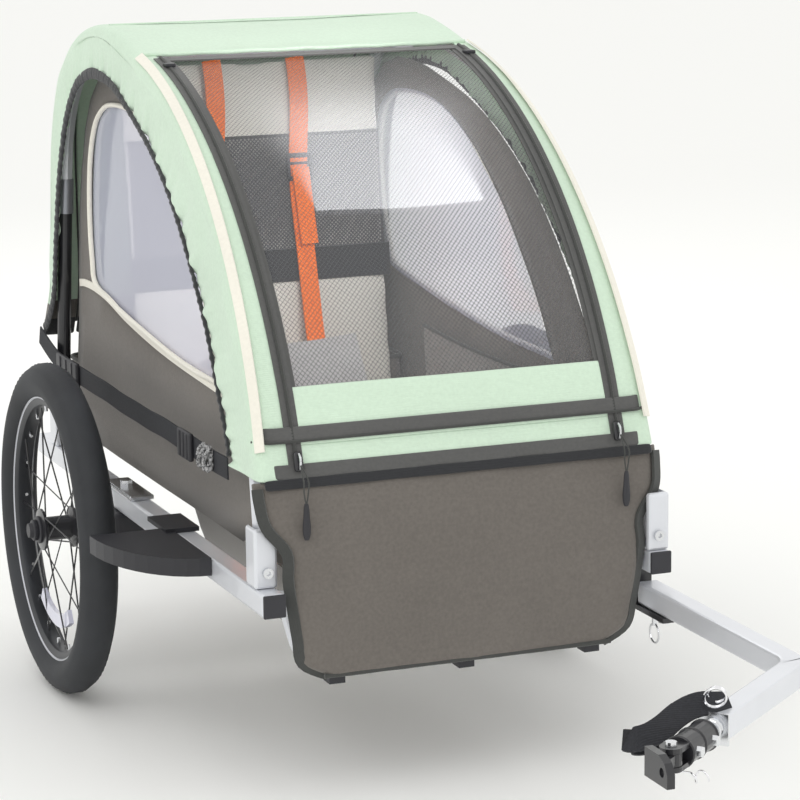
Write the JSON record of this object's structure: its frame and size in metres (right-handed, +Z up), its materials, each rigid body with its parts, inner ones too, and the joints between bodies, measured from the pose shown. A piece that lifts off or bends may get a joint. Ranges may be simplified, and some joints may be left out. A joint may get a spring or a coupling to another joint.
{
  "type": "child bicycle trailer",
  "caption": "Folding child bicycle trailer with spoked wheels, a soft canopy on hoop tubes, clear side windows, a footwell and a bent tow arm with a hitch plate.",
  "frame": {"origin": "on the ground under the middle of the whole trailer's box, tow arm included", "axes": "+X to the trailer's left side, where the tow arm is; -Y forwards along the tow arm; +Z up"},
  "size_m": [0.695, 1.458, 0.79],
  "materials": {
    "silver_paint": "satin silver paint",
    "black_paint": "satin black paint",
    "zinc_steel": "bright zinc plate",
    "black_plastic": "matt moulded",
    "tyre_rubber": "matt",
    "mint_fabric": "plain woven polyester",
    "taupe_fabric": "plain woven polyester",
    "seat_fabric": "plain woven polyester",
    "orange_webbing": "woven webbing",
    "black_webbing": "woven webbing",
    "window_mesh": "open diamond mesh",
    "clear_vinyl": "clear vinyl sheet"
  },
  "bodies": {
    "frame": {"rail_right": "silver_paint", "rail_left": "silver_paint", "rail_cap_right": "black_plastic", "rail_cap_left": "black_plastic", "front_cross_tube": "silver_paint", "rear_cross_tube": "silver_paint", "front_bracket_right": "silver_paint", "front_bracket_left": "silver_paint", "rear_bracket_right": "silver_paint", "rear_bracket_left": "silver_paint", "pivot_bolt_right": "zinc_steel", "pivot_bolt_left": "zinc_steel", "axle_block_right": "black_plastic", "axle_block_left": "black_plastic", "axle_saddle_right": "black_plastic", "axle_saddle_left": "black_plastic", "wheel_guard_right": "black_plastic", "wheel_guard_left": "black_plastic", "axle_right": "zinc_steel", "axle_left": "zinc_steel", "arm_bracket": "black_paint", "arm_pivot_bolt": "zinc_steel", "footwell_tub": "taupe_fabric", "floor_skid": "black_plastic", "boot_bag": "taupe_fabric", "seat_base": "seat_fabric", "seat_back": "seat_fabric", "canopy": "mint_fabric", "side_panel_right": "taupe_fabric", "side_panel_left": "taupe_fabric", "side_window_right": "clear_vinyl", "side_window_left": "clear_vinyl", "harness": "orange_webbing", "side_strap_right": "black_webbing", "side_strap_left": "black_webbing"},
    "hoop_right": {"hoop_right_tube": "silver_paint", "rear_upright_right": "black_paint"},
    "hoop_left": {"hoop_left_tube": "silver_paint", "rear_upright_left": "black_paint"},
    "crossbar": {"crossbar": "silver_paint"},
    "wheel_right": {"tyre_right": "tyre_rubber", "rim_right": "black_paint", "hub_right": "black_paint"},
    "wheel_left": {"tyre_left": "tyre_rubber", "rim_left": "black_paint", "hub_left": "black_paint"},
    "axle_button_right": {"axle_button_right": "black_plastic"},
    "axle_button_left": {"axle_button_left": "black_plastic"},
    "tow_arm": {"tow_arm": "silver_paint", "coupler_spring": "zinc_steel"},
    "arm_lock_pin": {"arm_lock_pin": "zinc_steel"},
    "coupler": {"coupler": "black_paint"},
    "hitch": {"hitch_plate": "black_paint"},
    "hitch_pin": {"hitch_pin": "zinc_steel"},
    "front_cover": {"front_cover": "window_mesh"},
    "rear_flap": {"rear_flap": "mint_fabric"},
    "zip_slider_right": {"zip_slider_right": "black_paint"},
    "zip_slider_left": {"zip_slider_left": "black_paint"},
    "adjuster_right": {"strap_adjuster_right": "black_plastic"},
    "adjuster_left": {"strap_adjuster_left": "black_plastic"}
  },
  "joints": [
    {"name": "frame_fold", "type": "hinge", "parent": "frame", "child": "hoop_right", "pos_m": [-0.224, 0.269, 0.258], "axis": [0, 1, 0], "range_deg": [0, 77], "deforming": ["canopy", "rear_flap", "front_cover", "side_panel_right", "side_panel_left", "side_window_right", "side_window_left", "seat_back", "harness", "side_strap_right", "side_strap_left", "boot_bag", "strap_adjuster_right", "strap_adjuster_left"]},
    {"name": "hoop_left_fold", "type": "hinge", "parent": "frame", "child": "hoop_left", "pos_m": [0.224, 0.269, 0.258], "axis": [0, -1, 0], "range_deg": [0, 71]},
    {"name": "crossbar_swing", "type": "hinge", "parent": "hoop_right", "child": "crossbar", "pos_m": [-0.20245, 0.499, 0.75153], "axis": [0, 1, 0], "range_deg": [0, 88]},
    {"name": "wheel_right_spin", "type": "hinge", "parent": "frame", "child": "wheel_right", "pos_m": [-0.3116, 0.369, 0.2], "axis": [1, 0, 0], "continuous": true},
    {"name": "wheel_left_spin", "type": "hinge", "parent": "frame", "child": "wheel_left", "pos_m": [0.3116, 0.369, 0.2], "axis": [1, 0, 0], "continuous": true},
    {"name": "axle_button_right_press", "type": "slide", "parent": "wheel_right", "child": "axle_button_right", "axis": [1, 0, 0], "range_m": [0, 0.004], "stiffness_N_per_m": 600},
    {"name": "axle_button_left_press", "type": "slide", "parent": "wheel_left", "child": "axle_button_left", "axis": [-1, 0, 0], "range_m": [0, 0.004], "stiffness_N_per_m": 600},
    {"name": "tow_arm_swing", "type": "hinge", "parent": "frame", "child": "tow_arm", "pos_m": [0.2245, -0.183, 0.1875], "axis": [0, 0, 1], "range_deg": [-65, 0]},
    {"name": "arm_lock_pin_pull", "type": "slide", "parent": "frame", "child": "arm_lock_pin", "axis": [0, 0, -1], "range_m": [0, 0.012], "stiffness_N_per_m": 300},
    {"name": "coupler_flex", "type": "hinge", "parent": "tow_arm", "child": "coupler", "pos_m": [0.05025, -0.62003, 0.1875], "axis": [0, 0, 1], "range_deg": [-25, 25], "stiffness_Nm_per_rad": 30, "deforming": ["coupler_spring"]},
    {"name": "hitch_turn", "type": "hinge", "parent": "coupler", "child": "hitch", "pos_m": [-0.01852, -0.67652, 0.1875], "axis": [0, 0, 1], "range_deg": [-25, 25]},
    {"name": "hitch_pin_pull", "type": "slide", "parent": "hitch", "child": "hitch_pin", "axis": [0, 0, 1], "range_m": [0, 0.03]},
    {"name": "front_cover_lift", "type": "hinge", "parent": "frame", "child": "front_cover", "pos_m": [0, 0.324, 0.7657], "axis": [-1, 0, 0], "range_deg": [0, 100]},
    {"name": "rear_flap_lift", "type": "hinge", "parent": "frame", "child": "rear_flap", "pos_m": [0, 0.6245, 0.7435], "axis": [1, 0, 0], "range_deg": [0, 110]},
    {"name": "zip_slider_right_run", "type": "hinge", "parent": "frame", "child": "zip_slider_right", "pos_m": [0, 0.429, 0.175], "axis": [-1, 0, 0], "range_deg": [0, 60]},
    {"name": "zip_slider_left_run", "type": "hinge", "parent": "frame", "child": "zip_slider_left", "pos_m": [0, 0.429, 0.175], "axis": [-1, 0, 0], "range_deg": [0, 60]},
    {"name": "adjuster_right_slide", "type": "slide", "parent": "frame", "child": "adjuster_right", "axis": [0, 0.1331, 0.9911], "range_m": [-0.05, 0.05]},
    {"name": "adjuster_left_slide", "type": "slide", "parent": "frame", "child": "adjuster_left", "axis": [0, 0.1331, 0.9911], "range_m": [-0.05, 0.05]}
  ],
  "couplings": [
    {"joint": "hoop_left_fold", "follows": "frame_fold", "ratio": 0.922},
    {"joint": "crossbar_swing", "follows": "frame_fold", "ratio": 1.14}
  ]
}
